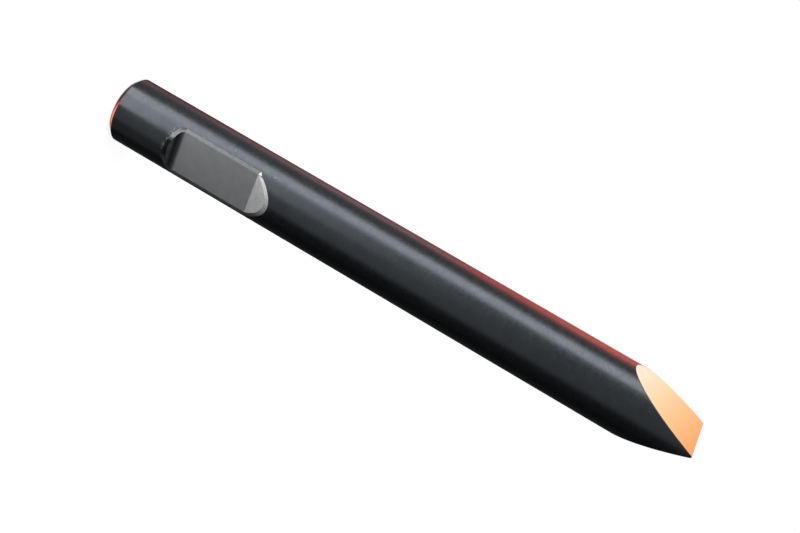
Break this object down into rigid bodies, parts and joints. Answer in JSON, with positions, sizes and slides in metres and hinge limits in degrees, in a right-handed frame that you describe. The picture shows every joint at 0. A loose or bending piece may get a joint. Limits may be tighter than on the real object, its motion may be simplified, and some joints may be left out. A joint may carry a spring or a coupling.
{
  "type": "hydraulic breaker chisel",
  "caption": "Round steel working tool of a hydraulic breaker, with a chamfered struck end, two opposed retainer flats and a two-bevel wedge that ends in a straight cutting edge.",
  "frame": {"origin": "centre of the flat struck face, which the bar stands on", "axes": "+Z along the bar's axis from the struck face to the cutting edge; the retainer flats face -Y and +Y, and the retainer bars lie along X; the cutting edge lies along Y and the bevels face -X and +X"},
  "size_m": [0.105, 0.105, 0.975],
  "materials": {
    "black_steel": "satin black, bare milled flats, heat-tinted bevels"
  },
  "bodies": {
    "root": {"breaker_chisel": "black_steel"}
  },
  "joints": []
}
